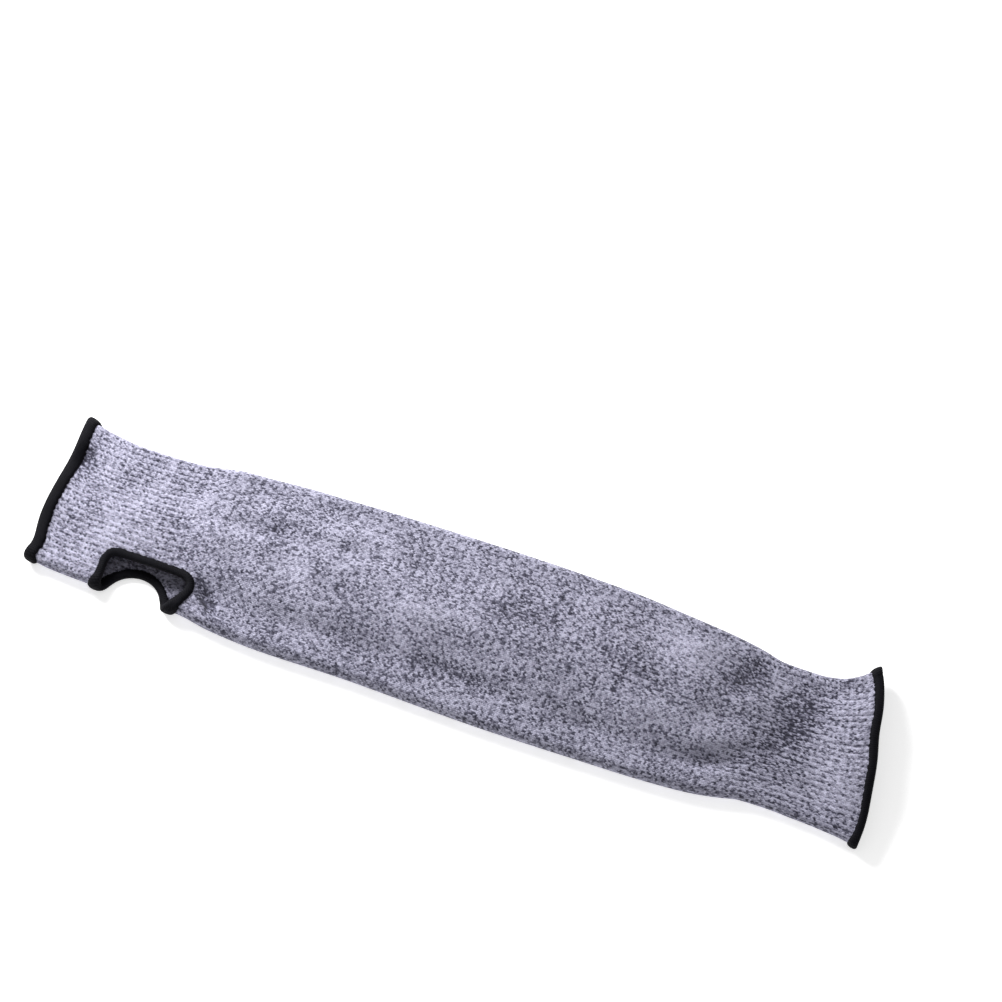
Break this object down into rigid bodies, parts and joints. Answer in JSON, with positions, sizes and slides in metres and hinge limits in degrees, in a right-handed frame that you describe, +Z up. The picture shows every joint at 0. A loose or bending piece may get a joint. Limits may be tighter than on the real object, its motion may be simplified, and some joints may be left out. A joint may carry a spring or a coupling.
{
  "type": "cut resistant sleeve",
  "caption": "Grey marl knitted cut resistant arm sleeve with a thumb hole, ribbed cuffs and black overlocked edges, lying flat.",
  "frame": {"origin": "on the surface it lies on, under the middle of its bounding box", "axes": "+X along the sleeve from the hand end to the upper-arm end, +Z up, thumb hole in the fold on the -Y side"},
  "size_m": [0.4618, 0.1012, 0.017],
  "materials": {
    "marl_knit": "matt salt and pepper knit",
    "black_overlock": "matt textured yarn"
  },
  "bodies": {
    "root": {"knit_tube": "marl_knit", "hand_end_binding": "black_overlock", "thumb_hole_binding": "black_overlock", "upper_arm_binding": "black_overlock"}
  },
  "joints": []
}
